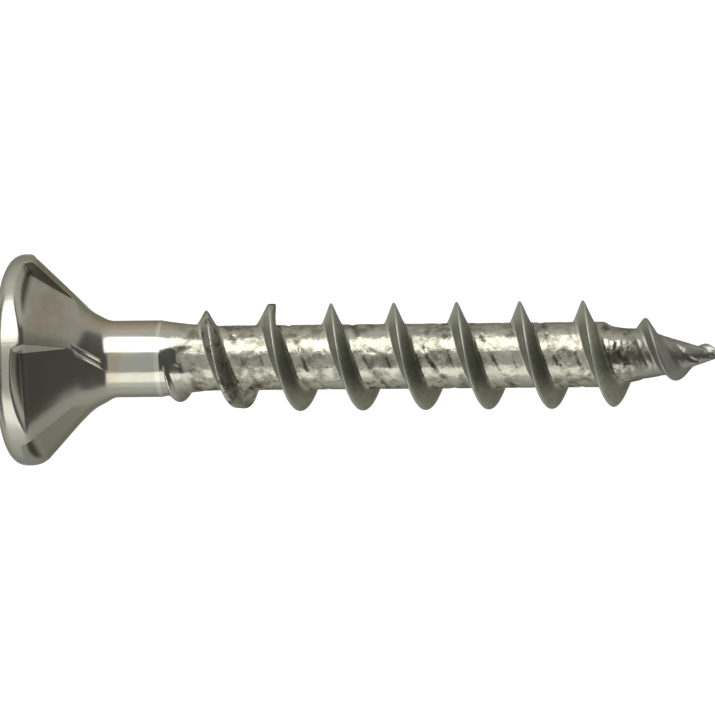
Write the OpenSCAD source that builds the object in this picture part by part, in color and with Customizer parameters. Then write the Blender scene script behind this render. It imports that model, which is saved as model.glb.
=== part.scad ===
// Countersunk chipboard screw, 4.5 x 30, lying at rest on its rim and on one crest of its thread.
// The screw is built upright, face down and point up, and is then laid along +X.

/* [Head] */
// Diameter across the rim of the head
head_d = 8.88; // [7.5:0.02:10]
// Rounding of the rim towards the face
face_round = 0.6; // [0.3:0.05:0.8]
// Height of the rim, from the face to the seat
rim_h = 1.2; // [1:0.05:1.6]
// Rounding between the rim and the seat
seat_round = 0.45; // [0.1:0.05:0.5]
// Angle of the conical seat, from side to side
seat_angle = 95; // [85:1:100]
// Angle of the neck between seat and shank, from side to side
neck_angle = 56; // [40:1:70]
// Length of the neck
neck_l = 0.89; // [0.6:0.01:1.2]
// Rounding between the seat and the neck
neck_round = 0.3; // [0.1:0.05:0.5]
// Rounding between the neck and the shank
shank_round = 0.8; // [0.3:0.05:1.2]

/* [Cutting pockets] */
// Number of pockets around the seat
pockets = 6; // [5:1:8]
// Depth of a pocket under the rim, at the middle of its floor
pocket_depth = 0.55; // [0.3:0.05:0.7]
// Slope of a pocket's floor to the axis
pocket_slope = 40; // [38:0.5:42]
// Height of a pocket's end above the face, at its floor
pocket_foot = 1.1; // [1.05:0.01:1.4]
// Slope of the ledge that closes a pocket under the rim
ledge_slope = 30; // [15:1:40]
// Distance from the middle of a pocket's floor to its wall
pocket_wall = 0.79; // [0.5:0.01:1]
// Lean of a pocket's wall
wall_lean = 51; // [30:1:60]
// Turn of a pocket's floor away from its wall
floor_turn = 3; // [0:0.5:6]
// Angle of the first pocket around the axis
pocket_turn = 7.6; // [0:0.1:60]

/* [Drive recess] */
// Width of the six-lobe recess, across its lobes
recess_wide = 3.95; // [3.4:0.05:4.2]
// Width of the six-lobe recess, across its flutes
recess_narrow = 2.85; // [2.4:0.05:3]
// Depth of the recess, to the edge of its conical floor
recess_depth = 1.8; // [1.2:0.05:2]
// Angle of the conical floor, from side to side
recess_floor = 130; // [110:5:150]

/* [Shank] */
// Diameter of the plain shank
shank_d = 3.22; // [3:0.02:3.5]
// Height of the shank's end, from the face
shank_end = 6.41; // [5.5:0.01:9]
// Height of the small step that the rolling dies leave there
die_step = 0.03; // [0.02:0.01:0.05]

/* [Thread] */
// Overall length, from the face to the point
length = 30; // [25:0.5:45]
// Diameter over the thread
thread_d = 4.5; // [4.2:0.02:5]
// Diameter of the core
core_d = 2.72; // [2.5:0.02:3]
// Distance from one turn to the next
pitch = 2.646; // [2.4:0.002:3]
// Angle between the flanks of the thread
flank_angle = 42; // [35:1:45]
// Width of the flat on the crest
crest_w = 0.08; // [0.04:0.01:0.1]
// Fillet between the flanks and the core
root_fillet = 0.32; // [0.2:0.02:0.4]
// Length over which the core narrows behind the shank
core_run = 2.2; // [1.2:0.1:3]
// Curve of that narrowing, where 1 is a plain cone
run_curve = 1.2; // [1:0.1:2]
// Length over which the thread grows to its full height
thread_run = 4; // [3:0.1:6]
// Crest's angle around the axis where the point begins, from the floor
thread_turn = 208; // [150:1:230]

/* [Point] */
// Length of the point
point_l = 5; // [4:0.1:7]
// Length of the point that still has the full thread
point_grip = 0.4; // [0:0.05:0.6]
// Length over which the full thread falls away at the point
fall_run = 2.7; // [1.5:0.1:4]
// Height of the low thread that runs on to the tip, where it starts
tip_thread = 0.5; // [0.3:0.05:0.6]
// Curve of the point's core, where 1 is a plain cone
point_curve = 1.3; // [1:0.05:1.6]
// Radius of the blunt end
point_blunt = 0.1; // [0.05:0.01:0.15]

/* [Hidden] */

$fn = 96;
head_r = head_d / 2;
shank_r = shank_d / 2;
thread_r = thread_d / 2;
core_r = core_d / 2;
seat_half = seat_angle / 2;
neck_half = neck_angle / 2;
// Ends of the neck: its radius at the seat, and its heights at the seat and at the shank
neck_r = shank_r + neck_l * tan(neck_half);
neck_z = rim_h + (head_r - neck_r) / tan(seat_half);
neck_end = neck_z + neck_l;
// Steps along each rounding of the head's outline
round_steps = 8;

// Outline of the head and shank, as [radius, height]
function arc(c, r, from, to) =
    [for (i = [0:round_steps]) let (a = from + (to - from) * i / round_steps) c + r * [cos(a), sin(a)]];

// Rounding of a hollow corner between two slopes, each as an angle to the axis
function hollow(corner, r, before, after) =
    let (
        tangent = r * tan((before - after) / 2),
        first = corner + tangent * [sin(before), -cos(before)]
    )
    arc(first + r * [cos(before), sin(before)], r, 180 + before, 180 + after);

seat_tangent = seat_round * tan(seat_half / 2);
head_outline = concat(
    [[0, 0]],
    arc([head_r - face_round, face_round], face_round, -90, 0),
    arc([head_r - seat_round, rim_h - seat_tangent], seat_round, 0, 90 - seat_half),
    hollow([neck_r, neck_z], neck_round, seat_half, neck_half),
    hollow([shank_r, neck_end], shank_round, neck_half, 0),
    [[shank_r, shank_end], [0, shank_end]]
);

// Pockets
// Distance of a pocket's floor from the axis, at its end under the rim
pocket_r = head_r - pocket_depth;
// Length of that floor, up to the start of the neck
pocket_l = (neck_z - pocket_foot) / cos(pocket_slope);
// Size of a block that reaches past the head
block = 3 * head_d;

// Thread
// Steps in one turn of the thread
turn_steps = 48;
// Height at which the point begins
point_z = length - point_l;
thread_h = thread_r - core_r;
flank_tan = tan(flank_angle / 2);
// Half widths of the thread, at the crest and where the flank meets the fillet and the fillet meets the core
crest_half = crest_w / 2;
fillet_half_turn = (90 - flank_angle / 2) / 2;
root_corner = crest_half + thread_h * flank_tan;
root_half = root_corner + root_fillet * tan(fillet_half_turn);
flank_low_h = root_fillet * (1 - sin(flank_angle / 2));
flank_low_half = crest_half + (thread_h - flank_low_h) * flank_tan;
fillet_mid_h = root_fillet * (1 - cos(fillet_half_turn));
fillet_mid_half = root_half - root_fillet * sin(fillet_half_turn);
// Section of one turn, as [distance along the axis, share of the thread's height]
section = [
    [0, 0],
    [pitch / 2 - root_half, 0],
    [pitch / 2 - fillet_mid_half, fillet_mid_h / thread_h],
    [pitch / 2 - flank_low_half, flank_low_h / thread_h],
    [pitch / 2 - crest_half, 1],
    [pitch / 2 + crest_half, 1],
    [pitch / 2 + flank_low_half, flank_low_h / thread_h],
    [pitch / 2 + fillet_mid_half, fillet_mid_h / thread_h],
    [pitch / 2 + root_half, 0]
];
section_n = len(section);

// The thread's solid starts one turn inside the shank and neck
thread_z0 = shank_end - pitch - root_fillet;
// Angle around the axis at which that solid starts, set by where the crest stands at the point
thread_a0 = thread_turn - 360 * (point_z - thread_z0 - pitch / 2) / pitch;
turns = (length - thread_z0) / pitch;
rows = ceil(turns * turn_steps) + 1;

// Radius of the core at height z: buried in the shank, narrowing behind it, plain, then the point
function point_share(z) = (z - point_z) / (point_l + point_blunt);
function core_at(z) =
    z < shank_end ? shank_r - die_step
    : z < shank_end + core_run
        ? core_r + (shank_r - die_step - core_r) * pow(1 - (z - shank_end) / core_run, run_curve)
    : z < point_z ? core_r
    : core_r * (1 - pow(point_share(z), point_curve));

// Height of the thread above the core at height z
function grow_share(z) = (z - shank_end) / thread_run;
function fall_share(z) = min(1, (z - point_z - point_grip) / fall_run);
function tip_share(z) = max(0, length - z) / (point_l - point_grip);
function thread_at(z) =
    z < shank_end ? 0
    : z < shank_end + thread_run ? thread_h * sqrt(grow_share(z))
    : z < point_z + point_grip ? thread_h
    : min(thread_h, max(thread_h * (1 - fall_share(z)), tip_thread * sqrt(tip_share(z))));

// Place of column j in row i of the thread's surface
function section_z(i, j) = thread_z0 + pitch * i / turn_steps + section[j][0];
function thread_point(i, j) =
    let (
        z = section_z(i, j),
        a = thread_a0 + 360 * i / turn_steps,
        r = z < length ? core_at(z) + thread_at(z) * section[j][1] : 0
    )
    [r * cos(a), r * sin(a), min(z, length)];

// Index of a surface point: the last column is the first one of the next turn, and all past the end is the apex
apex = rows * section_n;
root = apex + 1;
function index(i, j) =
    let (
        row = j == section_n ? i + turn_steps : i,
        col = j == section_n ? 0 : j
    )
    row >= rows || section_z(row, col) >= length ? apex : row * section_n + col;
function is_face(f) = f[0] != f[1] && f[1] != f[2] && f[2] != f[0];

module head_and_shank() {
    rotate_extrude()
        polygon(head_outline);
}

// One cutting pocket: a flat floor, a leaning wall on one side and a sloped ledge under the rim
module pocket() {
    translate([pocket_r, 0, pocket_foot])
        intersection() {
            rotate([0, -pocket_slope, 0])
                translate([0, 0, -head_r])
                    linear_extrude(height = head_r + pocket_l)
                        polygon([
                            [-(head_r + pocket_wall) * tan(floor_turn), head_r],
                            [0, -pocket_wall],
                            [head_r, -pocket_wall - head_r * tan(wall_lean)],
                            [head_r, head_r]
                        ]);
            rotate([0, ledge_slope, 0])
                translate([-block / 2, -block / 2, 0])
                    cube(block);
        }
}

module pocket_ring() {
    for (i = [0:pockets - 1])
        rotate(pocket_turn + 360 * i / pockets)
            pocket();
}

// Drive recess: lobes with a round outline, and a conical floor
lobes = 6;
lobe_steps = 12 * lobes;
module recess() {
    mean_r = (recess_wide + recess_narrow) / 4;
    wave = (recess_wide - recess_narrow) / 4;
    floor_h = recess_wide / 2 / tan(recess_floor / 2);
    intersection() {
        translate([0, 0, -recess_depth])
            linear_extrude(height = 2 * recess_depth + floor_h)
                polygon([
                    for (i = [0:lobe_steps - 1])
                        let (a = 360 * i / lobe_steps)
                        (mean_r + wave * cos(lobes * a)) * [cos(a), sin(a)]
                ]);
        rotate_extrude()
            polygon([
                [0, -recess_depth],
                [recess_wide, -recess_depth],
                [recess_wide, recess_depth - floor_h],
                [0, recess_depth + floor_h]
            ]);
    }
}

// Threaded length and point: one closed surface that follows the helix
module thread() {
    surface = [
        for (i = [0:rows - 1])
            for (j = [0:section_n - 1])
                thread_point(i, j)
    ];
    sides = [
        for (i = [0:rows - 2])
            for (j = [0:section_n - 1])
                each [
                    [index(i, j), index(i, j + 1), index(i + 1, j + 1)],
                    [index(i, j), index(i + 1, j + 1), index(i + 1, j)]
                ]
    ];
    start_edge = concat(
        [for (j = [section_n:-1:1]) index(0, j)],
        [for (i = [0:turn_steps - 1]) index(i, 0)]
    );
    edge_n = len(start_edge);
    start_cap = [
        for (k = [0:edge_n - 1])
            [start_edge[k], start_edge[(k + 1) % edge_n], root]
    ];
    polyhedron(
        points = concat(surface, [[0, 0, length], [0, 0, thread_z0 + pitch / 2]]),
        faces = [for (f = concat(sides, start_cap)) if (is_face(f)) f]
    );
}

// Height of the crest that touches the floor, and the screw's lean from its rim down to it
floor_crest_z = point_z - pitch * thread_turn / 360 + crest_half;
ledge_run = (head_r - pocket_r) * tan(ledge_slope);
floor_rim_z = pocket_foot - ledge_run;
rest_tilt = atan((head_r - thread_r) / (floor_crest_z - floor_rim_z));
axis_h = head_r * cos(rest_tilt) + floor_rim_z * sin(rest_tilt);
// Ends of the laid screw along X, for an origin under the middle of its box
back_x = face_round * cos(rest_tilt) - (head_r - face_round) * sin(rest_tilt) - face_round;
front_x = length * cos(rest_tilt);

module screw() {
    color([0.62, 0.62, 0.58])
        translate([-(back_x + front_x) / 2, 0, axis_h])
            rotate([0, 90 + rest_tilt, 0]) {
                difference() {
                    head_and_shank();
                    pocket_ring();
                    recess();
                }
                thread();
            }
}

screw();
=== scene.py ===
import math
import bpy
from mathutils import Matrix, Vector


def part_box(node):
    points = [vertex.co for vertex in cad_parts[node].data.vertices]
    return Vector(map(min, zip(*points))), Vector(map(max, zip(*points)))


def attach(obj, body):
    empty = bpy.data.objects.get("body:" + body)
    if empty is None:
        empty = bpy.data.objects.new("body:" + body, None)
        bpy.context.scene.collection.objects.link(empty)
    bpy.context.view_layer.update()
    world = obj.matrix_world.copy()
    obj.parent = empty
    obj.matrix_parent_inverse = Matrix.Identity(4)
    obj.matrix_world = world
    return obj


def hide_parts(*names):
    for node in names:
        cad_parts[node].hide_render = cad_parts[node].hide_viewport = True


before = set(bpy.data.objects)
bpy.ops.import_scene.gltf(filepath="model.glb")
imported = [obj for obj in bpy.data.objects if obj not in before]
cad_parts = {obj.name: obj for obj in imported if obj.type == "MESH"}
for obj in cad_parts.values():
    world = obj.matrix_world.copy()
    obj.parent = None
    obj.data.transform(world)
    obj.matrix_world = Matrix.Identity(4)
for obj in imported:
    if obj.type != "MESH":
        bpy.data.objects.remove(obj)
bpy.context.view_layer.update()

from types import SimpleNamespace

import bpy
from mathutils import Matrix, Vector

# Real sizes of the screw in millimetres, with the face of its head at height 0 and its point at LENGTH
HEAD_R = 4.44
FACE_ROUND = 0.6
RIM_H = 1.2
SEAT_ROUND = 0.45
SEAT_HALF = math.radians(47.5)
NECK_LONG = 0.89
NECK_HALF = math.radians(28)
NECK_SKEW = 0.11
NECK_SKEW_REACH = 1.2
NECK_ROUND = 2.0
SHANK_ROUND = 0.8
SHANK_R = 1.61
SHANK_END = 6.41
SHANK_EDGE = 0.012
LENGTH = 30.0
THREAD_R = 2.25
CORE_R = 1.36
PITCH = 2.646
THREAD_TURN = 208.0
HALF_CREST = 0.04
HALF_FLANK = math.radians(21)
POINT_L = 5.0
POINT_Z = LENGTH - POINT_L

# Cutting pockets under the head, in millimetres and degrees
POCKETS = 6
POCKET_DEPTH = 0.55
POCKET_SLOPE = math.radians(38.5)
POCKET_FOOT = 1.1
LEDGE_SLOPE = math.radians(30)
POCKET_WALL = 0.79
WALL_LEAN = math.radians(51)
FLOOR_TURN = math.radians(1.6)
POCKET_TURN = math.radians(7.6)

# Six-lobe drive recess, in millimetres
RECESS_WIDE = 3.95
RECESS_NARROW = 2.85
RECESS_DEPTH = 1.8
RECESS_LOBES = 6
RECESS_FLOOR = math.radians(130)
RECESS_EDGE = 0.06

# Derived heights and radii
SEAT_TAN = math.tan(SEAT_HALF)
NECK_TAN = math.tan(NECK_HALF)
NECK_R = SHANK_R + NECK_LONG * NECK_TAN
NECK_START = RIM_H + (HEAD_R - NECK_R) / SEAT_TAN
NECK_END = NECK_START + NECK_LONG
POCKET_R = HEAD_R - POCKET_DEPTH

# How the screw lies: on its rim and on the crest that faces the floor
REST_RIM_Z = POCKET_FOOT - POCKET_DEPTH * math.tan(LEDGE_SLOPE)
REST_CREST_Z = POINT_Z - PITCH * THREAD_TURN / 360 + HALF_CREST
TILT = math.atan((HEAD_R - THREAD_R) / (REST_CREST_Z - REST_RIM_Z))

MM = 0.001


def laid_screw():
    """Turns sizes along the upright screw in millimetres into the frame's metres, where it lies along +X."""
    low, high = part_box("screw")
    front = LENGTH * math.cos(TILT) * MM
    height = (HEAD_R * math.cos(TILT) + REST_RIM_Z * math.sin(TILT)) * MM
    place = Matrix.Translation((high.x - front, (low.y + high.y) / 2, low.z + height))
    return place @ Matrix.Rotation(math.radians(90) + TILT, 4, "Y") @ Matrix.Scale(MM, 4)


LAID = laid_screw()


def shade(code):
    """A colour written as an sRGB hex code, turned to the linear values that Blender works in."""
    parts = [int(code[i:i + 2], 16) / 255 for i in (1, 3, 5)]
    linear = [p / 12.92 if p <= 0.04045 else ((p + 0.055) / 1.055) ** 2.4 for p in parts]
    return (*linear, 1.0)


def new_object(name, data):
    """Puts a mesh, a lamp or a camera into the scene."""
    shown = bpy.data.objects.new(name, data)
    bpy.context.scene.collection.objects.link(shown)
    return shown


def add(tree, kind, *values, **settings):
    """Adds a node, sets it, and feeds its inputs in order from numbers, sockets or nodes' first outputs."""
    node = tree.nodes.new(kind)
    for name, value in settings.items():
        setattr(node, name, value)
    open_inputs = [s for s in node.inputs if s.enabled]
    for socket, value in zip(open_inputs, values):
        if isinstance(value, bpy.types.Node):
            tree.links.new(next(s for s in value.outputs if s.enabled), socket)
        elif isinstance(value, bpy.types.NodeSocket):
            tree.links.new(value, socket)
        elif value is not None:
            socket.default_value = value
    return node


MATHS = "ShaderNodeMath"
TO_RANGE = "ShaderNodeMapRange"
NOISE = "ShaderNodeTexNoise"
MIX = "ShaderNodeMix"
JOIN_XYZ = "ShaderNodeCombineXYZ"
SPLIT_XYZ = "ShaderNodeSeparateXYZ"


def from_axis(tree, x, y):
    """Distance from the screw's axis."""
    flat = add(tree, JOIN_XYZ, x, y, 0.0)
    return add(tree, "ShaderNodeVectorMath", flat, operation="LENGTH").outputs["Value"]


def from_seam(tree, spot, sine, ahead, pitch, waves, slant, place, wander):
    """Distance along the axis from the core's seam, which slants and wanders. It is wrapped, because the
    seam may wander past the middle between two turns."""
    wave = add(tree, MATHS, add(tree, NOISE, spot, waves, 1.0), 0.5, operation="SUBTRACT")
    middle = add(tree, MATHS, sine, slant, place, operation="MULTIPLY_ADD")
    middle = add(tree, MATHS, wave, wander, middle, operation="MULTIPLY_ADD")
    apart = add(tree, MATHS, ahead, middle, operation="SUBTRACT")
    half = add(tree, MATHS, pitch, 0.5, operation="MULTIPLY")
    other_half = add(tree, MATHS, pitch, -0.5, operation="MULTIPLY")
    return add(tree, MATHS, apart, half, other_half, operation="WRAP")


# Camera

CAMERA_AWAY = 304.17
CAMERA_AIM = 14.65
CAMERA_DROP = 0.033
CAMERA_LEAN = math.radians(9.24)
CAMERA_ROLL = math.radians(0.55)
CAMERA_LENS = 367.6


def make_camera():
    """Looks down on the laid screw, leaning to the side of its point."""
    axis = (LAID.to_3x3() @ Vector((0, 0, 1))).normalized()
    aim = LAID @ Vector((0, 0, CAMERA_AIM))
    rise = math.radians(90) - CAMERA_LEAN - TILT
    back = Vector((math.cos(rise), 0, math.sin(rise)))
    across = (axis - axis.dot(back) * back).normalized()
    upward = back.cross(across)
    right = math.cos(CAMERA_ROLL) * across - math.sin(CAMERA_ROLL) * upward
    up = math.sin(CAMERA_ROLL) * across + math.cos(CAMERA_ROLL) * upward
    camera = new_object("camera", bpy.data.cameras.new("camera"))
    camera.data.lens = CAMERA_LENS
    camera.data.sensor_width = 36
    camera.data.clip_start = 0.01
    camera.data.clip_end = 10
    turn = Matrix((right, up, back)).transposed().to_4x4()
    stand = aim + (back * CAMERA_AWAY - up * CAMERA_DROP) * MM
    camera.matrix_world = Matrix.Translation(stand) @ turn
    bpy.context.scene.camera = camera


# Floor and light

FLOOR_HALF = 1.5
FLOOR_SHADE = "#80807f"
FLOOR_ROUGH = 0.9
FLOOR_GLOW = 0.9

# Watts of a square metre of softbox at level 1
LAMP_POWER = 4
# Softboxes: name, distance, degrees above the floor, side, width, length, shift towards the point, and level
SOFTBOXES = (
    ("softbox_far_side", 0.20, 46.0, 1, 0.168, 0.29, -0.07, 4.2),
    ("softbox_near_side", 0.20, 34.0, -1, 0.120, 0.29, -0.07, 2.3),
    ("card_far_side", 0.21, 9.0, 1, 0.086, 0.30, -0.05, 0.9),
    ("card_near_side", 0.21, 8.0, -1, 0.074, 0.30, -0.05, 1.08),
    ("panel_overhead", 0.40, 95.0, 1, 0.49, 0.41, -0.155, 0.74),
)
ROOM_LEVEL = 0.22


def make_floor():
    """A plain pale tabletop under the screw, which looks white where no shadow falls on it."""
    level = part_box("screw")[0].z
    corners = [(x * FLOOR_HALF, y * FLOOR_HALF, level) for x, y in ((-1, -1), (1, -1), (1, 1), (-1, 1))]
    mesh = bpy.data.meshes.new("floor")
    mesh.from_pydata(corners, [], [(0, 1, 2, 3)])
    floor = new_object("floor", mesh)
    paint = bpy.data.materials.new("matt_white_tabletop")
    paint.use_nodes = True
    tree = paint.node_tree
    surface = tree.nodes["Principled BSDF"]
    surface.inputs["Base Color"].default_value = shade(FLOOR_SHADE)
    surface.inputs["Roughness"].default_value = FLOOR_ROUGH
    surface.inputs["Specular IOR Level"].default_value = 0.0
    rays = add(tree, "ShaderNodeLightPath").outputs
    seen = add(tree, MATHS, rays["Is Camera Ray"], rays["Is Glossy Ray"], operation="ADD")
    seen = add(tree, MATHS, seen, rays["Is Transmission Ray"], operation="ADD")
    glow = add(tree, MATHS, seen, FLOOR_GLOW, operation="MULTIPLY")
    tree.links.new(glow.outputs[0], surface.inputs["Emission Strength"])
    surface.inputs["Emission Color"].default_value = (1, 1, 1, 1)
    mesh.materials.append(paint)


def make_softbox(name, away, rise_deg, side, wide, long, shift, level):
    """A rectangular lamp that faces the screw from away, rise_deg above the floor, on the side -Y or +Y."""
    rise = math.radians(rise_deg)
    place = Vector((shift, side * away * math.cos(rise), away * math.sin(rise)))
    lamp = bpy.data.lights.new(name, "AREA")
    lamp.shape = "RECTANGLE"
    lamp.size = long
    lamp.size_y = wide
    lamp.energy = LAMP_POWER * level * wide * long
    box = new_object(name, lamp)
    back = Vector((0, place.y, place.z)).normalized()
    across = Vector((1, 0, 0))
    turn = Matrix((across, back.cross(across), back)).transposed().to_4x4()
    box.matrix_world = Matrix.Translation(place) @ turn


def make_light():
    """A long softbox and a low card on each side, a dim panel above the head's side, and a dark room."""
    for softbox in SOFTBOXES:
        make_softbox(*softbox)
    world = bpy.data.worlds.new("room")
    world.use_nodes = True
    background = world.node_tree.nodes["Background"]
    background.inputs["Color"].default_value = (1, 1, 1, 1)
    background.inputs["Strength"].default_value = ROOM_LEVEL
    bpy.context.scene.world = world


# Head and shank: one surface turned around the axis, ring by ring

WALL_COLUMNS = 24
FLOOR_COLUMNS = 30
WALL_ZONE = math.radians(8)
WALL_AFTER = math.radians(1.5)
LEDGE_STEP = 0.025
CONE_STEP = 0.08
SHANK_STEP = 0.2
FACE_STEPS = 8
RIM_STEPS = 14
NECK_STEPS = 6
SHANK_STEPS = 8

# Rings of the recess and the face, as shares of the way across each stretch, and around its edge in degrees
FLOOR_RINGS = (0.08, 0.3, 0.55, 0.8, 0.96)
WALL_RINGS = (0.02, 0.06, 0.25, 0.5, 0.75)
EDGE_RINGS = (0, 22.5, 45, 67.5, 90)
FACE_RINGS = (0.15, 0.35, 0.6, 0.85)

# Nothing is divided by a smaller distance from the axis than this
AXIS_ROOM = 0.001


def arc(centre, radius, start, end, steps):
    """Points of a round stretch as (radius, height), between two angles in degrees."""
    turns = [math.radians(start + (end - start) * i / steps) for i in range(steps + 1)]
    return [(centre[0] + radius * math.cos(t), centre[1] + radius * math.sin(t)) for t in turns]


def inner_round(corner, radius, before, after, steps):
    """Rounds a hollow corner between two slopes, given as degrees from the axis."""
    tangent = radius * math.tan(math.radians(before - after) / 2)
    t = math.radians(before)
    first = (corner[0] + tangent * math.sin(t), corner[1] - tangent * math.cos(t))
    centre = (first[0] + radius * math.cos(t), first[1] + radius * math.sin(t))
    return arc(centre, radius, 180 + before, 180 + after, steps)


def line(start, end, step):
    """Points between two points, about step apart, without the two ends."""
    count = max(1, round(math.dist(start, end) / step))
    share = [i / count for i in range(1, count)]
    return [tuple(a + (b - a) * s for a, b in zip(start, end)) for s in share]


def head_outline():
    """Outline of head and shank as (radius, height), from the middle of the face ring to the shank's end."""
    seat_tangent = SEAT_ROUND * math.tan(SEAT_HALF / 2)
    half = math.degrees(SEAT_HALF)
    face = arc((HEAD_R - FACE_ROUND, FACE_ROUND), FACE_ROUND, -90, 0, FACE_STEPS)
    rim = arc((HEAD_R - SEAT_ROUND, RIM_H - seat_tangent), SEAT_ROUND, 0, 90 - half, RIM_STEPS)
    slope = math.degrees(NECK_HALF)
    start = inner_round((NECK_R, NECK_START), NECK_ROUND, half, slope, NECK_STEPS)
    stop = inner_round((SHANK_R, NECK_END), SHANK_ROUND, slope, 0, SHANK_STEPS)
    end = [(SHANK_R, SHANK_END - SHANK_EDGE), (SHANK_R - SHANK_EDGE, SHANK_END)]
    points = face + line(face[-1], rim[0], LEDGE_STEP) + rim
    points += line(rim[-1], start[0], CONE_STEP) + start
    points += line(start[-1], stop[0], CONE_STEP) + stop
    points += line(stop[-1], end[0], SHANK_STEP) + end
    return points


def column_angles():
    """Angles of the surface's columns, close together where a pocket's wall stands."""
    period = 2 * math.pi / POCKETS
    wall = math.asin(POCKET_WALL / POCKET_R)
    start = -wall - WALL_ZONE
    near = WALL_ZONE + WALL_AFTER
    one = [start + near * i / WALL_COLUMNS for i in range(WALL_COLUMNS)]
    one += [start + near + (period - near) * i / FLOOR_COLUMNS for i in range(FLOOR_COLUMNS)]
    return [POCKET_TURN + period * k + a for k in range(POCKETS) for a in one]


def wall_twist(height):
    """How far a pocket's straight wall has turned around the axis at a height, from where it starts."""
    run = min(max(height - POCKET_FOOT, 0), NECK_START - POCKET_FOOT)
    floor_r = POCKET_R - run * math.tan(POCKET_SLOPE)
    return math.asin(POCKET_WALL / POCKET_R) - math.asin(POCKET_WALL / floor_r)


def neck_skew(height):
    """How far the neck is pressed askew at a height: most at its middle, nothing beyond the skew's reach."""
    share = (height - (NECK_START + NECK_END) / 2) / NECK_SKEW_REACH
    return NECK_SKEW * max(0.0, 1 - share * share) ** 2


def recess_radius(angle):
    """Radius of the six-lobe recess."""
    wave = (RECESS_WIDE - RECESS_NARROW) / 4
    return (RECESS_WIDE + RECESS_NARROW) / 4 + wave * math.cos(RECESS_LOBES * angle)


def recess_rings(angles):
    """Rings of the drive recess, from the first ring of its conical floor to the face."""
    floor_h = RECESS_WIDE / 2 / math.tan(RECESS_FLOOR / 2)

    def floor_z(radius):
        return RECESS_DEPTH + floor_h * (1 - radius / (RECESS_WIDE / 2))

    rings = []
    for share in FLOOR_RINGS:
        rings.append([(share * recess_radius(a), floor_z(share * recess_radius(a))) for a in angles])
    edge = [recess_radius(a) for a in angles]
    for share in WALL_RINGS:
        rings.append([(r, floor_z(r) * (1 - share) + RECESS_EDGE * share) for r in edge])
    for turn in EDGE_RINGS:
        t = math.radians(turn)
        out, z = RECESS_EDGE * (1 - math.cos(t)), RECESS_EDGE * (1 - math.sin(t))
        rings.append([(r + out, z) for r in edge])
    outer = HEAD_R - FACE_ROUND
    for share in FACE_RINGS:
        rings.append([((r + RECESS_EDGE) * (1 - share) + outer * share, 0.0) for r in edge])
    return rings


def make_blank():
    """The headed blank before its pockets are pressed, as one closed mesh in millimetres."""
    angles = column_angles()
    outline = head_outline()
    rings = [[(r, z, a) for (r, z), a in zip(ring, angles)] for ring in recess_rings(angles)]
    rings += [[(r, z, a + wall_twist(z)) for a in angles] for r, z in outline]
    points = []
    for ring in rings:
        points += [(r * math.cos(a), r * math.sin(a), z - neck_skew(z) * math.sin(a)) for r, z, a in ring]
    n = len(angles)
    faces = []
    for k in range(len(rings) - 1):
        for j in range(n):
            a, b = k * n + j, k * n + (j + 1) % n
            faces.append((a, b, b + n, a + n))
    recess_floor = RECESS_DEPTH + RECESS_WIDE / 2 / math.tan(RECESS_FLOOR / 2)
    points += [(0, 0, recess_floor), (0, 0, SHANK_END)]
    first, last = len(points) - 2, len(points) - 1
    top = (len(rings) - 1) * n
    faces += [(first, (j + 1) % n, j) for j in range(n)]
    faces += [(last, top + j, top + (j + 1) % n) for j in range(n)]
    mesh = bpy.data.meshes.new("blank")
    mesh.from_pydata(points, [], faces)
    return new_object("blank", mesh)


# Geometry Nodes

def start_tree(name, sizes):
    """A node tree with a mesh in and out and one named number for each size."""
    tree = bpy.data.node_groups.new(name, "GeometryNodeTree")
    tree.interface.new_socket("Geometry", in_out="INPUT", socket_type="NodeSocketGeometry")
    tree.interface.new_socket("Geometry", in_out="OUTPUT", socket_type="NodeSocketGeometry")
    for size in sizes:
        tree.interface.new_socket(size, in_out="INPUT", socket_type="NodeSocketFloat")
    return tree, add(tree, "NodeGroupInput")


def end_tree(tree, mesh, finish):
    """Closes a tree with Realize Instances and Set Material."""
    real = add(tree, "GeometryNodeRealizeInstances", mesh)
    done = add(tree, "GeometryNodeSetMaterial", real)
    done.inputs["Material"].default_value = finish
    add(tree, "NodeGroupOutput", done)


def run_tree(piece, tree, sizes):
    """Puts a tree on a piece as a modifier and sets its named sizes."""
    modifier = piece.modifiers.new(tree.name, "NODES")
    modifier.node_group = tree
    for socket in tree.interface.items_tree:
        if socket.item_type == "SOCKET" and socket.in_out == "INPUT" and socket.name in sizes:
            modifier[socket.identifier] = float(sizes[socket.name])


def bake(piece, name):
    """A plain mesh object of a piece with its modifiers, which then takes its place."""
    bpy.context.view_layer.update()
    mesh = bpy.data.meshes.new_from_object(piece.evaluated_get(bpy.context.evaluated_depsgraph_get()))
    bpy.data.objects.remove(piece)
    return new_object(name, mesh)


POCKET_SIZES = {
    "Count": POCKETS,
    "Turn": POCKET_TURN,
    "Floor Radius": POCKET_R,
    "Floor Tangent": math.tan(POCKET_SLOPE),
    "Floor Cosine": math.cos(POCKET_SLOPE),
    "Floor Sine": math.sin(POCKET_SLOPE),
    "Foot": POCKET_FOOT,
    "Neck Start": NECK_START,
    "Neck Blend": 0.8,
    "Ledge Tangent": math.tan(LEDGE_SLOPE),
    "Floor Turn": math.tan(FLOOR_TURN),
    "Wall": POCKET_WALL,
    "Wall Tangent": math.tan(WALL_LEAN),
    "Inner Edge": 0.05,
    "Outer Edge": 0.07,
    "Exit Edge": 0.5,
    "Exit Angle": 0.45,
    "Land Angle": 0.1,
    "Room Before Wall": 0.42,
}


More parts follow.
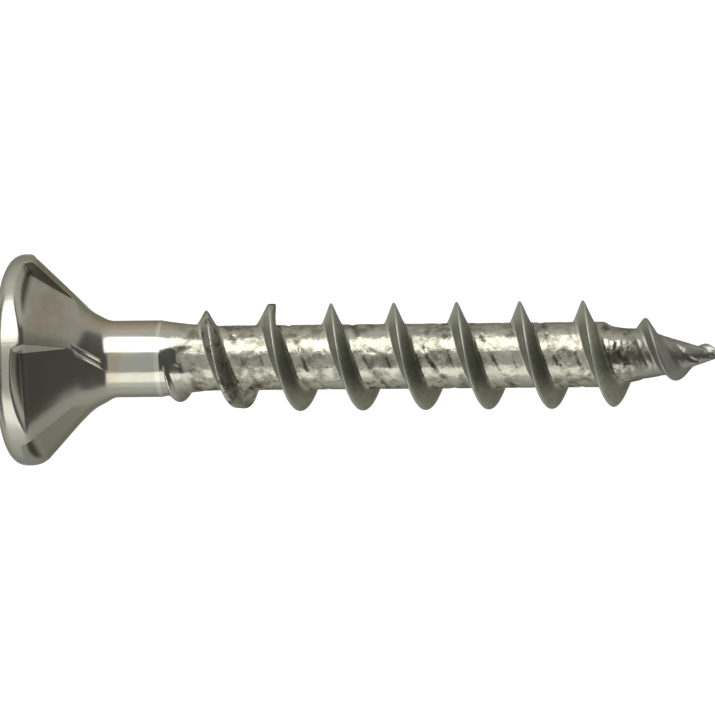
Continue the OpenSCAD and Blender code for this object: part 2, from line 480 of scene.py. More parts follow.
def pocket_floor(tree, size, angle, floor_x, ledge_x):
    """Radius of a pocket's floor at an angle from its middle: flat, turned a little, closed by the ledge."""
    cosine = add(tree, MATHS, angle, operation="COSINE")
    sine = add(tree, MATHS, angle, operation="SINE")
    corner = add(tree, MATHS, size["Wall"], size["Floor Turn"], operation="MULTIPLY")
    turned = add(tree, MATHS, sine, size["Floor Turn"], cosine, operation="MULTIPLY_ADD")
    floor_r = add(tree, MATHS, floor_x, corner, operation="SUBTRACT")
    floor_r = add(tree, MATHS, floor_r, turned, operation="DIVIDE")
    ledge_r = add(tree, MATHS, ledge_x, cosine, operation="DIVIDE")
    return add(tree, MATHS, floor_r, ledge_r, size["Inner Edge"], operation="SMOOTH_MAX")


def pocket_tree(finish):
    """Presses the cutting pockets into the seat: each has a flat floor, a leaning wall and a ledge."""
    tree, sizes = start_tree("cutting_pockets", POCKET_SIZES)
    size = sizes.outputs
    x, y, z = add(tree, SPLIT_XYZ, add(tree, "GeometryNodeInputPosition")).outputs
    radius = from_axis(tree, x, y)
    angle = add(tree, MATHS, add(tree, MATHS, y, x, operation="ARCTAN2"), size["Turn"], operation="SUBTRACT")
    period = add(tree, MATHS, math.tau, size["Count"], operation="DIVIDE")
    # Within one pocket the angle runs from before its wall to past the end of its floor
    room = add(tree, MATHS, period, size["Room Before Wall"], operation="MULTIPLY")
    first = add(tree, MATHS, room, -1.0, operation="MULTIPLY")
    last = add(tree, MATHS, period, room, operation="SUBTRACT")
    local = add(tree, MATHS, angle, last, first, operation="WRAP")
    cosine = add(tree, MATHS, local, operation="COSINE")
    sine = add(tree, MATHS, local, operation="SINE")
    over_foot = add(tree, MATHS, z, size["Foot"], operation="SUBTRACT")
    to_neck = add(tree, MATHS, z, size["Neck Start"], size["Neck Blend"], operation="SMOOTH_MIN")
    to_neck = add(tree, MATHS, to_neck, size["Foot"], operation="SUBTRACT")
    # Floor: a plane that leans towards the neck, under a ledge that slopes down from the rim
    drop = add(tree, MATHS, to_neck, size["Floor Tangent"], operation="MULTIPLY")
    floor_x = add(tree, MATHS, size["Floor Radius"], drop, operation="SUBTRACT")
    rise = add(tree, MATHS, over_foot, size["Ledge Tangent"], operation="DIVIDE")
    ledge_x = add(tree, MATHS, size["Floor Radius"], rise, operation="SUBTRACT")
    floor_r = pocket_floor(tree, size, local, floor_x, ledge_x)
    # The floor of the pocket before this one, which runs out over the land in front of the wall
    before = add(tree, MATHS, local, size["Land Angle"], operation="MINIMUM")
    before = add(tree, MATHS, before, period, operation="ADD")
    land = pocket_floor(tree, size, before, floor_x, ledge_x)
    land = add(tree, MATHS, radius, land, size["Exit Edge"], operation="SMOOTH_MIN")
    # Wall: a plane that leans away from the floor
    reach = add(tree, MATHS, size["Floor Radius"], size["Floor Cosine"], operation="MULTIPLY")
    sink = add(tree, MATHS, to_neck, size["Floor Sine"], operation="MULTIPLY")
    offset = add(tree, MATHS, reach, sink, operation="SUBTRACT")
    offset = add(tree, MATHS, offset, size["Wall Tangent"], operation="MULTIPLY")
    wall_top = add(tree, MATHS, offset, size["Wall"], operation="SUBTRACT")
    lean = add(tree, MATHS, size["Wall Tangent"], size["Floor Cosine"], operation="MULTIPLY")
    wall_low = add(tree, MATHS, lean, cosine, sine, operation="MULTIPLY_ADD")
    wall_r = add(tree, MATHS, wall_top, wall_low, operation="DIVIDE")
    pocket = add(tree, MATHS, floor_r, wall_r, size["Inner Edge"], operation="SMOOTH_MAX")
    # The edge is crisp along the wall, and soft where the floor runs out
    soft = add(tree, TO_RANGE, local, 0.0, size["Exit Angle"], size["Outer Edge"], size["Exit Edge"])
    pressed = add(tree, MATHS, land, pocket, soft, operation="SMOOTH_MIN")
    off_axis = add(tree, MATHS, radius, AXIS_ROOM, operation="MAXIMUM")
    share = add(tree, MATHS, pressed, off_axis, operation="DIVIDE")
    moved = add(tree, JOIN_XYZ,
                add(tree, MATHS, x, share, operation="MULTIPLY"),
                add(tree, MATHS, y, share, operation="MULTIPLY"), z)
    mesh = add(tree, "GeometryNodeSetPosition", size["Geometry"], None, moved)
    end_tree(tree, mesh, finish)
    return tree


# The seam that the dies rolled in along the middle of the core, in millimetres from the crest
SEAM_PLACE = 1.05
SEAM_SLANT = -0.2
SEAM_WANDER = 0.3
SEAM_WAVES_PER_MM = 0.9

# Levels of noise between which the marks of the dies fade in, which set how much of the core they cover
GROOVE_COVER = (0.6, 0.44)
SEAM_COVER = (0.42, 0.6)
CHIP_COVER = (0.56, 0.66)
CHIPPED_COVER = (0.46, 0.6)

THREAD_SIZES = {
    "First Height": SHANK_END - PITCH,
    "Buried Height": SHANK_END - 1.2,
    "Length": LENGTH,
    "Pitch": PITCH,
    "Point Height": POINT_Z,
    "Turn At Point": math.radians(THREAD_TURN),
    "Steps Per Turn": 120,
    "Columns": 48,
    "Column Crowding": 1.25,
    "Weld Distance": 0.0002,
    "Start Radius": SHANK_R - 0.015,
    "Shank End": SHANK_END,
    "Core Run": 2.2,
    "Core Run Curve": 1.4,
    "Front Side": 0.12,
    "Front Side End": 0.52,
    "Front Start": 0.09,
    "Front Run": 0.7,
    "Front Run Curve": 1.0,
    "Core Radius": CORE_R,
    "Thread Height": THREAD_R - CORE_R,
    "Thread Start": SHANK_END + 0.28,
    "Thread Grown": SHANK_END + 4.0,
    "Thread Growth Curve": 0.4,
    "Half Crest": HALF_CREST + 0.01,
    "Flank Slope": 1 / math.tan(HALF_FLANK),
    "Flank Skew": -0.08,
    "Crest Edge": 0.2,
    "Root Fillet": 0.3,
    "Point Reach": POINT_L + 0.1,
    "Point Curve": 1.3,
    "Fall Start": POINT_Z + 0.4,
    "Fall End": POINT_Z + 3.1,
    "Tip Thread Height": 0.58,
    "Tip Thread Blend": 0.1,
    "Tip Length": POINT_L - 0.4,
    "Mark Patches Per Mm": 1.7,
    "Groove Depth": 0.022,
    "Groove Place": -0.72,
    "Groove Width": 0.06,
    "Seam Depth": 0.045,
    "Seam Place": SEAM_PLACE,
    "Seam Width": 0.1,
    "Seam Wander": SEAM_WANDER,
    "Seam Waves Per Mm": SEAM_WAVES_PER_MM,
    "Seam Slant": SEAM_SLANT,
    "Shoulder Depth": 0.15,
    "Shoulder Height": POINT_Z - 0.05,
    "Shoulder Run": 0.45,
    "Shoulder Rise Start": 0.6,
    "Shoulder Rise End": 2.0,
    "Shoulder Side": 0.4,
    "Shoulder Side Full": 0.95,
    "Ripple Depth": 0.011,
    "Ripple Length": 0.25,
    "Ripple Place": 0.6,
    "Ripple Reach": 0.5,
    "Ripple Side": 0.6,
    "Ripple Side Reach": 0.5,
    "Ripple Slant": -0.1,
    "Dent Depth": 0.025,
    "Dents Per Mm": 1 / 0.65,
    "Chip Depth": 0.018,
    "Chips Per Mm": 1 / 0.42,
    "Chipped Patches Per Mm": 0.55,
    "Bent Crest Place": 10.9,
    "Bent Crest Reach": 0.22,
    "Bent Crest Width": 0.13,
    "Bent Crest Shift": 0.15,
    "Bent Crest Steepness": 3.0,
    "Burr Place": 9.66,
    "Burr Reach": 0.35,
    "Burr Width": 0.03,
    "Burr Lean": 0.2,
    "Burr Blunt": 0.09,
    "First Crest Place": 6.93,
    "First Crest Reach": 0.6,
    "First Crest Shift": 0.12,
    "Tip Bend": 0.08,
    "Tip Bend Start": POINT_Z + 1.6,
    "Tip Bend End": POINT_Z + 2.8,
    "Seed": 3.0,
}


def bell(tree, value, place, width):
    """A soft bump that is 1 where the value is at its place, and falls to nothing about two widths away."""
    aside = add(tree, MATHS, add(tree, MATHS, value, place, operation="SUBTRACT"), width, operation="DIVIDE")
    square = add(tree, MATHS, aside, aside, operation="MULTIPLY")
    return add(tree, MATHS, add(tree, MATHS, square, -1.0, operation="MULTIPLY"), operation="EXPONENT")


def thread_rows(tree, size):
    """The grid that the thread is rolled from: a row for each step along the helix, a column for each place
    across it. Each place has its distance from the crest, its height on the axis and its turn around it."""
    span = add(tree, MATHS, size["Length"], size["First Height"], operation="SUBTRACT")
    turns = add(tree, MATHS, add(tree, MATHS, span, size["Pitch"], operation="DIVIDE"), 1.0, operation="ADD")
    turns = add(tree, MATHS, turns, operation="CEIL")
    rows = add(tree, MATHS, turns, size["Steps Per Turn"], 1.0, operation="MULTIPLY_ADD")
    columns = add(tree, MATHS, size["Columns"], 1.0, operation="ADD")
    grid = add(tree, "GeometryNodeMeshGrid", 2.0, 1.0, columns, rows)
    across, along = add(tree, SPLIT_XYZ, add(tree, "GeometryNodeInputPosition")).outputs[:2]
    # The columns are crowded at the crest
    crowd = add(tree, MATHS, across, operation="ABSOLUTE")
    crowd = add(tree, MATHS, crowd, size["Column Crowding"], operation="POWER")
    half_pitch = add(tree, MATHS, size["Pitch"], 0.5, operation="MULTIPLY")
    off = add(tree, MATHS, crowd, half_pitch, operation="MULTIPLY")
    ahead = add(tree, MATHS, off, add(tree, MATHS, across, operation="SIGN"), operation="MULTIPLY")
    turn = add(tree, MATHS, add(tree, MATHS, along, 0.5, operation="ADD"), turns, operation="MULTIPLY")
    crest_z = add(tree, MATHS, turn, size["Pitch"], size["First Height"], operation="MULTIPLY_ADD")
    raw_z = add(tree, MATHS, crest_z, ahead, operation="ADD")
    z = add(tree, MATHS, raw_z, size["Buried Height"], operation="MAXIMUM")
    z = add(tree, MATHS, z, size["Length"], operation="MINIMUM")
    wound = add(tree, MATHS, crest_z, size["Point Height"], operation="SUBTRACT")
    wound = add(tree, MATHS, wound, size["Pitch"], operation="DIVIDE")
    angle = add(tree, MATHS, wound, math.tau, size["Turn At Point"], operation="MULTIPLY_ADD")
    cosine = add(tree, MATHS, angle, operation="COSINE")
    sine = add(tree, MATHS, angle, operation="SINE")
    return SimpleNamespace(
        grid=grid, off=off, ahead=ahead, crest_z=crest_z, raw_z=raw_z, z=z, cosine=cosine, sine=sine,
    )


def core_radius(tree, size, row):
    """Radius of the core: it narrows behind the shank, faster on its front, and curves in to the point."""
    aside = add(tree, MATHS, row.sine, operation="ABSOLUTE")
    front = add(tree, TO_RANGE, aside, size["Front Side"], size["Front Side End"], 1.0, 0.0,
                interpolation_type="SMOOTHSTEP")
    run_start = add(tree, MATHS, front, size["Front Start"], size["Shank End"], operation="MULTIPLY_ADD")
    run = add(tree, MIX, front, size["Core Run"], size["Front Run"])
    curve = add(tree, MIX, front, size["Core Run Curve"], size["Front Run Curve"])
    run_end = add(tree, MATHS, run_start, run, operation="ADD")
    left = add(tree, TO_RANGE, row.z, run_start, run_end, 1.0, 0.0)
    narrowing = add(tree, MATHS, left, curve, operation="POWER")
    step = add(tree, MATHS, size["Start Radius"], size["Core Radius"], operation="SUBTRACT")
    core = add(tree, MATHS, narrowing, step, size["Core Radius"], operation="MULTIPLY_ADD")
    to_point = add(tree, MATHS, row.z, size["Point Height"], operation="SUBTRACT")
    to_point = add(tree, MATHS, to_point, size["Point Reach"], operation="DIVIDE")
    to_point = add(tree, MATHS, to_point, 0.0, operation="MAXIMUM")
    bend = add(tree, MATHS, to_point, size["Point Curve"], operation="POWER")
    kept = add(tree, MATHS, 1.0, bend, operation="SUBTRACT")
    return add(tree, MATHS, core, kept, operation="MULTIPLY")


def pinch_marks(tree, size, row):
    """How far the core stands out where the dies pinched the point: a shoulder, and ripples behind it."""
    behind = add(tree, MATHS, row.z, size["Shoulder Height"], operation="SUBTRACT")
    sunk = add(tree, TO_RANGE, behind, 0.0, size["Shoulder Run"], interpolation_type="SMOOTHSTEP")
    risen = add(tree, TO_RANGE, behind, size["Shoulder Rise Start"], size["Shoulder Rise End"], 1.0, 0.0,
                interpolation_type="SMOOTHSTEP")
    side = add(tree, TO_RANGE, row.sine, size["Shoulder Side"], size["Shoulder Side Full"],
               interpolation_type="SMOOTHSTEP")
    pinched = add(tree, MATHS, sunk, risen, operation="MULTIPLY")
    for share in (side, size["Shoulder Depth"]):
        pinched = add(tree, MATHS, pinched, share, operation="MULTIPLY")
    wave = add(tree, MATHS, row.sine, size["Ripple Slant"], behind, operation="MULTIPLY_ADD")
    wave = add(tree, MATHS, wave, size["Ripple Length"], operation="DIVIDE")
    wave = add(tree, MATHS, add(tree, MATHS, wave, math.tau, operation="MULTIPLY"), operation="SINE")
    for share in (size["Ripple Depth"],
                  bell(tree, row.sine, size["Ripple Side"], size["Ripple Side Reach"]),
                  bell(tree, behind, size["Ripple Place"], size["Ripple Reach"])):
        wave = add(tree, MATHS, wave, share, operation="MULTIPLY")
    return add(tree, MATHS, wave, pinched, operation="SUBTRACT")


def thread_growth(tree, size, row):
    """Share of the thread that has grown behind the shank, and its height, which fades at the point."""
    grown = add(tree, TO_RANGE, row.z, size["Thread Start"], size["Thread Grown"])
    grown = add(tree, MATHS, grown, size["Thread Growth Curve"], operation="POWER")
    fallen = add(tree, TO_RANGE, row.z, size["Fall Start"], size["Fall End"], size["Thread Height"], 0.0)
    rest = add(tree, MATHS, size["Length"], row.z, operation="SUBTRACT")
    rest = add(tree, MATHS, rest, size["Tip Length"], operation="DIVIDE")
    tip = add(tree, MATHS, rest, operation="SQRT")
    tip = add(tree, MATHS, tip, size["Tip Thread Height"], operation="MULTIPLY")
    full = add(tree, MATHS, fallen, tip, size["Tip Thread Blend"], operation="SMOOTH_MAX")
    full = add(tree, MATHS, full, size["Thread Height"], operation="MINIMUM")
    return grown, add(tree, MATHS, full, grown, operation="MULTIPLY")


def thread_section(tree, size, row, bent):
    """Share of the thread's height across a turn: straight flanks, a rounded crest and filleted roots. One
    stretch of the crest is hammered flat and bent over to the point, and the stretch before it is burred."""
    burr = bell(tree, row.crest_z, size["Burr Place"], size["Burr Reach"])
    point_side = add(tree, MATHS, row.ahead, 0.0, operation="GREATER_THAN")
    burr_side = add(tree, MATHS, burr, point_side, operation="MULTIPLY")
    bent_side = add(tree, MATHS, bent, point_side, operation="MULTIPLY")
    half = add(tree, MATHS, bent, size["Bent Crest Width"], size["Half Crest"], operation="MULTIPLY_ADD")
    half = add(tree, MATHS, burr, size["Burr Width"], half, operation="MULTIPLY_ADD")
    half = add(tree, MATHS, burr_side, size["Burr Lean"], half, operation="MULTIPLY_ADD")
    steep = add(tree, MATHS, bent_side, size["Bent Crest Steepness"], 1.0, operation="MULTIPLY_ADD")
    side = add(tree, MATHS, row.ahead, operation="SIGN")
    uneven = add(tree, MATHS, side, size["Flank Skew"], 1.0, operation="MULTIPLY_ADD")
    slope = add(tree, MATHS, size["Flank Slope"], steep, operation="MULTIPLY")
    slope = add(tree, MATHS, slope, uneven, operation="MULTIPLY")
    beside = add(tree, MATHS, row.off, half, operation="SUBTRACT")
    fall = add(tree, MATHS, beside, slope, operation="MULTIPLY")
    fall = add(tree, MATHS, fall, size["Thread Height"], operation="DIVIDE")
    flank = add(tree, MATHS, 1.0, fall, operation="SUBTRACT")
    blunt = add(tree, MATHS, burr, size["Burr Blunt"], operation="MULTIPLY")
    top = add(tree, MATHS, 1.0, blunt, operation="SUBTRACT")
    crest = add(tree, MATHS, flank, top, size["Crest Edge"], operation="SMOOTH_MIN")
    return add(tree, MATHS, crest, 0.0, size["Root Fillet"], operation="SMOOTH_MAX")


def die_marks(tree, size, row, core):
    """Depth of the marks on the core: a groove behind each turn, a seam that wanders, chips and dents."""
    spot = add(tree, JOIN_XYZ,
               add(tree, MATHS, row.cosine, core, operation="MULTIPLY"),
               add(tree, MATHS, row.sine, core, operation="MULTIPLY"),
               add(tree, MATHS, row.z, size["Seed"], operation="ADD"))
    patchy = add(tree, NOISE, spot, size["Mark Patches Per Mm"], 1.0)
    groove = bell(tree, row.ahead, size["Groove Place"], size["Groove Width"])
    deep = add(tree, TO_RANGE, patchy, *GROOVE_COVER, 0.0, size["Groove Depth"])
    groove = add(tree, MATHS, groove, deep, operation="MULTIPLY")
    seam = from_seam(tree, spot, row.sine, row.ahead, size["Pitch"], size["Seam Waves Per Mm"],
                     size["Seam Slant"], size["Seam Place"], size["Seam Wander"])
    seam = bell(tree, seam, 0.0, size["Seam Width"])
    deep = add(tree, TO_RANGE, patchy, *SEAM_COVER, 0.0, size["Seam Depth"])
    seam = add(tree, MATHS, seam, deep, operation="MULTIPLY")
    dents = add(tree, NOISE, spot, size["Dents Per Mm"], 2.0)
    dents = add(tree, MATHS, dents, 0.5, operation="SUBTRACT")
    dents = add(tree, MATHS, dents, size["Dent Depth"], operation="MULTIPLY")
    chips = add(tree, NOISE, spot, size["Chips Per Mm"], 2.0, 0.6)
    chips = add(tree, TO_RANGE, chips, *CHIP_COVER, 0.0, size["Chip Depth"], interpolation_type="SMOOTHSTEP")
    chipped = add(tree, NOISE, spot, size["Chipped Patches Per Mm"], 1.0)
    chipped = add(tree, TO_RANGE, chipped, *CHIPPED_COVER)
    chips = add(tree, MATHS, chips, chipped, operation="MULTIPLY")
    worn = groove
    for mark in (seam, chips, dents):
        worn = add(tree, MATHS, worn, mark, operation="ADD")
    return worn


def thread_tree(finish):
    """Rolls the thread: each row of a grid is a section across it, wound around the axis along the helix."""
    tree, sizes = start_tree("rolled_thread", THREAD_SIZES)
    size = sizes.outputs
    row = thread_rows(tree, size)
    core = core_radius(tree, size, row)
    core = add(tree, MATHS, core, pinch_marks(tree, size, row), operation="ADD")
    grown, height = thread_growth(tree, size, row)
    bent = bell(tree, row.crest_z, size["Bent Crest Place"], size["Bent Crest Reach"])
    section = thread_section(tree, size, row, bent)
    radius = add(tree, MATHS, height, section, core, operation="MULTIPLY_ADD")
    bare = add(tree, MATHS, 1.0, section, operation="SUBTRACT")
    bare = add(tree, MATHS, bare, grown, operation="MULTIPLY")
    worn = add(tree, MATHS, die_marks(tree, size, row, core), bare, operation="MULTIPLY")
    radius = add(tree, MATHS, radius, worn, operation="SUBTRACT")
    # Both ends close on the axis
    over = add(tree, MATHS, row.raw_z, size["Buried Height"], operation="GREATER_THAN")
    under = add(tree, MATHS, row.raw_z, size["Length"], operation="LESS_THAN")
    for inside in (over, under):
        radius = add(tree, MATHS, radius, inside, operation="MULTIPLY")
    # The first crest and the bent one stand a little late, and the tip is bent aside
    late = bell(tree, row.crest_z, size["First Crest Place"], size["First Crest Reach"])
    late = add(tree, MATHS, late, size["First Crest Shift"], operation="MULTIPLY")
    late = add(tree, MATHS, bent, size["Bent Crest Shift"], late, operation="MULTIPLY_ADD")
    aside = add(tree, TO_RANGE, row.z, size["Tip Bend Start"], size["Tip Bend End"], 0.0, size["Tip Bend"],
                interpolation_type="SMOOTHSTEP")
    x = add(tree, MATHS, radius, row.cosine, operation="MULTIPLY")
    y = add(tree, MATHS, radius, row.sine, operation="MULTIPLY")
    y = add(tree, MATHS, y, aside, operation="SUBTRACT")
    z = add(tree, MATHS, late, section, row.z, operation="MULTIPLY_ADD")
    moved = add(tree, JOIN_XYZ, x, y, z)
    rolled = add(tree, "GeometryNodeSetPosition", row.grid.outputs["Mesh"], None, moved)
    closed = add(tree, "GeometryNodeMergeByDistance", rolled, None, size["Weld Distance"])
    # The grid's faces point inwards once it is wound
    end_tree(tree, add(tree, "GeometryNodeFlipFaces", closed), finish)
    return tree


# Finish

# Shades of the plating by region
PLATE = "#8b8b80"
PLATE_BROWN = "#897f6f"
PLATE_BLUE = "#888a89"
CORE = "#86867a"
# Pits of the core, and also the painted shade in the flanks' roots
PIT_AND_ROOT_SHADE = "#5a574c"
SEAT = "#7b7a6f"
SEAT_BROWN = "#756d5f"
# Dull plating of the flanks, darkened with painted shade between the turns
FLANK_DULL_AND_SHADE = "#7a7b6e"
FLANK_WORN = "#86877a"
# Painted sheen: lighter flanks on the head's side
FLANK_HEADWARD_SHEEN = "#96978b"
CREST = "#888980"
POINT = "#72716a"
# Painted shade in the corners of the pockets under the rim, which also covers the face and the recess
CORNER_SHADE = "#4d4b43"
# Residue of dirt, seams and pits, and also the painted shade in the fold under the bent crest
RESIDUE_AND_FOLD_SHADE = "#48433a"
# Painted highlight: the light line around the shank's end
RING_HIGHLIGHT = "#b4b5ae"
# Steel and zinc reflect less near their outlines than a perfect mirror, which leaves a thin dark edge there
OUTLINE_TINT = "#a8a8a2"

# Roughness by region, for the shank and the core at their clearest and their cloudiest
SHANK_ROUGH = (0.15, 0.22)
CORE_ROUGH = (0.21, 0.31)
HEAD_ROUGH = 0.26
POINT_ROUGH = 0.33
FLANK_ROUGH = 0.52
CREST_ROUGH = 0.5
# How much of the flanks' roughness is left at the tip
TIP_FLANK_SHARE = 0.3

# Patterns: spacing in millimetres, detail and roughness of the noise, and the levels of noise between which
# it fades in, which set how much of the surface it covers
PATTERNS = {
    "brown stains": (2.2, 2.0, 0.5, 0.56, 0.74),
    "blue stains": (2.2, 2.0, 0.5, 0.45, 0.32),
    "seat stains": (0.9, 3.0, 0.5, 0.35, 0.6),
    "mottle": (0.42, 3.0, 0.6, 0.45, 0.62),
    "mottled patches": (1.6667, 2.0, 0.5, 0.4, 0.54),
    "seam dirt": (0.9091, 4.0, 0.6, 0.47, 0.56),
    "dirt": (0.5, 4.0, 0.65, 0.54, 0.64),
    "dirty patches": (3.125, 2.0, 0.5, 0.44, 0.58),
    "scuffs": (0.4, 3.0, 0.6, 0.45, 0.62),
    "flank pits": (0.45, 4.0, 0.65, 0.5, 0.6),
    "clouds": (0.8, 3.0, 0.5, 0.35, 0.65),
    "peeled patches": (1.4925, 2.0, 0.5, 0.35, 0.6),
}

# How strongly each coat covers the ones under it, where it is full
MOTTLE_COAT = (0.15, 0.85)
UNDER_RIM_COAT = 0.25
SEAT_COAT = (0.55, 1.0)
SEAM_COAT = 0.78
DIRT_COAT = 0.8
# Painted shade in the flanks' roots
ROOT_SHADE_COAT = 0.6
FLANK_COAT = 0.95
TIP_CREST_COAT = 0.2
POINT_COAT = 0.8
PITS_COAT = 0.75
# Painted highlight at the shank's end
RING_HIGHLIGHT_COAT = 0.45
# Painted shade under the bent crest
FOLD_SHADE_COAT = 0.9

# Where regions fade in: heights along the screw, distances from the crest or from the axis, in millimetres
THREADED = (SHANK_END + 0.4, SHANK_END + 1.4)
FLANK_FOOT = (0.46, 0.36)
CREST_SIDE = (0.09, 0.04)
CREST_END = (POINT_Z + 1.0, POINT_Z + 1.8)
HEAD_END = (NECK_END + 0.2, NECK_END - 0.3)
SEAT_START = (RIM_H - 0.1, RIM_H + 0.2)
SEAT_END = (NECK_START, RIM_H + 0.6)
POINT_START = (POINT_Z + 0.7, POINT_Z + 1.9)
# Painted shade in the pockets' corners: the heights and distances from the axis where it fades in
CORNER_SHADE_TOP = (POCKET_FOOT + 0.2, POCKET_FOOT)
CORNER_SHADE_SIDE = (HEAD_R - 0.25, HEAD_R - 0.4)
PITTED_END = (SHANK_END + 5.5, SHANK_END + 3.0)
DULL_END = (POINT_Z + 3.2, POINT_Z + 3.9)
# Painted highlight at the shank's end: the distances from it where it fades in
RING_HIGHLIGHT_SIDE = (0.12, 0.02)
SEAM_SIDE = (0.24, 0.04)
# Painted sheen on the flanks' head side, and painted shade in their roots on the point's side
HEADWARD_SHEEN_SIDE = (-0.02, -0.1)
ROOT_SHADE = (0.1, 0.4)

# Where regions fade in around the axis, as the sine of the angle from the screw's side
BROWN_TOP = (0.6, 0.85)
BROWN_SEAT = (0.0, 0.45)
BROWN_SEAT_COAT = (0.1, 1.0)

# Painted shade: a dark spot in the fold under the stretch of crest that is bent over
FOLD_SHADE_PLACE = (-0.3, 2.0, 11.22)
FOLD_SHADE_REACH = (0.42, 0.27)

# The two scratches on the front of the neck
SCRATCH_PLACE = 2.08
SCRATCH_SLANT = 0.59
SCRATCH_APART = 0.27
SCRATCH_WIDTH = 0.09
SCRATCH_SIDE = (SCRATCH_APART * 0.8, SCRATCH_APART * 0.7)
SCRATCH_MIDDLE = 3.6
SCRATCH_REACH = (0.62, 0.4)
SCRATCH_FRONT = (-0.5, -1.0)

# Relief: its depth, the spacing of its grains and the length of the drawn lines, in millimetres
RELIEF_DEPTH = 0.02
DRAWN_SPACING = 0.12
DRAWN_LENGTH = 2.5
PEEL_SPACING = 0.34
SPECK_SPACING = 0.13
# How far each mark rises or sinks, as a share of the depth, with a slope and a start for peel and specks
PEEL_LEAST = 0.35
DRAWN_RISE = 0.12
PEEL_RISE = (1.3, 0.15)
SPECK_RISE = (0.18, 0.03)
MOTTLE_RISE = -0.25
SEAM_RISE = -0.5
PIT_RISE = -1.5
SCRATCH_RISE = 2.5


def patches(tree, place, name, low=0.0, high=1.0):
    """How strongly a pattern shows, from low where it is missing to high where it is full."""
    spacing, detail, roughness, missing, full = PATTERNS[name]
    noise = add(tree, NOISE, place, 1 / spacing, detail, roughness)
    return add(tree, TO_RANGE, noise, missing, full, low, high)


def screw_regions(tree):
    """Places on the upright screw in millimetres, and shares from 0 to 1 that tell its regions apart."""
    place = add(tree, "ShaderNodeMapping", add(tree, "ShaderNodeTexCoord").outputs["Object"],
                LAID.translation, LAID.to_euler(), LAID.to_scale(), vector_type="TEXTURE")
    x, y, z = add(tree, SPLIT_XYZ, place).outputs
    angle = add(tree, MATHS, y, x, operation="ARCTAN2")
    sine = add(tree, MATHS, angle, operation="SINE")
    # Distance from the crest along the axis
    wound = add(tree, MATHS, angle, -1 / math.tau, THREAD_TURN / 360, operation="MULTIPLY_ADD")
    turns = add(tree, MATHS, z, POINT_Z, operation="SUBTRACT")
    turns = add(tree, MATHS, turns, 1 / PITCH, wound, operation="MULTIPLY_ADD")
    ahead = add(tree, MATHS, turns, 0.5, -0.5, operation="WRAP")
    ahead = add(tree, MATHS, ahead, PITCH, operation="MULTIPLY")
    off = add(tree, MATHS, ahead, operation="ABSOLUTE")
    threaded = add(tree, TO_RANGE, z, *THREADED)
    flank = add(tree, MATHS, add(tree, TO_RANGE, off, *FLANK_FOOT), threaded, operation="MULTIPLY")
    crested = add(tree, MATHS, threaded, add(tree, TO_RANGE, z, *CREST_END, 1.0, TIP_CREST_COAT),
                  operation="MULTIPLY")
    crest = add(tree, MATHS, add(tree, TO_RANGE, off, *CREST_SIDE), crested, operation="MULTIPLY")
    head = add(tree, TO_RANGE, z, *HEAD_END)
    seat = add(tree, MATHS, add(tree, TO_RANGE, z, *SEAT_START), head, operation="MULTIPLY")
    seat = add(tree, MATHS, seat, add(tree, TO_RANGE, z, *SEAT_END, *SEAT_COAT), operation="MULTIPLY")
    point = add(tree, TO_RANGE, z, *POINT_START)
    # Painted shade, full below the pockets' foot and inside the rim: the corner where each pocket's ledge
    # meets its floor, and also the face and the drive recess
    corner = add(tree, MATHS, add(tree, TO_RANGE, z, *CORNER_SHADE_TOP),
                 add(tree, TO_RANGE, from_axis(tree, x, y), *CORNER_SHADE_SIDE), operation="MULTIPLY")
    return SimpleNamespace(
        place=place, x=x, y=y, z=z, sine=sine, ahead=ahead, threaded=threaded, flank=flank, crest=crest,
        head=head, seat=seat, point=point, corner=corner,
    )


def core_mottle(tree, at):
    """Mottle that the dies pressed into the core, in patches."""
    mottle = patches(tree, at.place, "mottle")
    for share in (patches(tree, at.place, "mottled patches", *MOTTLE_COAT), at.threaded):
        mottle = add(tree, MATHS, mottle, share, operation="MULTIPLY")
    return mottle


def seam_dirt(tree, at):
    """Dirt in patches along the seam that the dies rolled in, straying a little beside its groove."""
    seam = from_seam(tree, at.place, at.sine, at.ahead, PITCH, SEAM_WAVES_PER_MM, SEAM_SLANT, SEAM_PLACE,
                     SEAM_WANDER)
    seam = add(tree, MATHS, seam, operation="ABSOLUTE")
    seam = add(tree, TO_RANGE, seam, *SEAM_SIDE, 0.0, SEAM_COAT)
    for share in (patches(tree, at.place, "seam dirt"), at.threaded):
        seam = add(tree, MATHS, seam, share, operation="MULTIPLY")
    return seam


def flank_pits(tree, at):
    """Pits and dirt on the flanks of the first turns, which the dies left rough."""
    early = add(tree, TO_RANGE, at.z, *PITTED_END)
    pits = patches(tree, at.place, "flank pits", 0.0, PITS_COAT)
    for share in (early, at.flank):
        pits = add(tree, MATHS, pits, share, operation="MULTIPLY")
    return pits


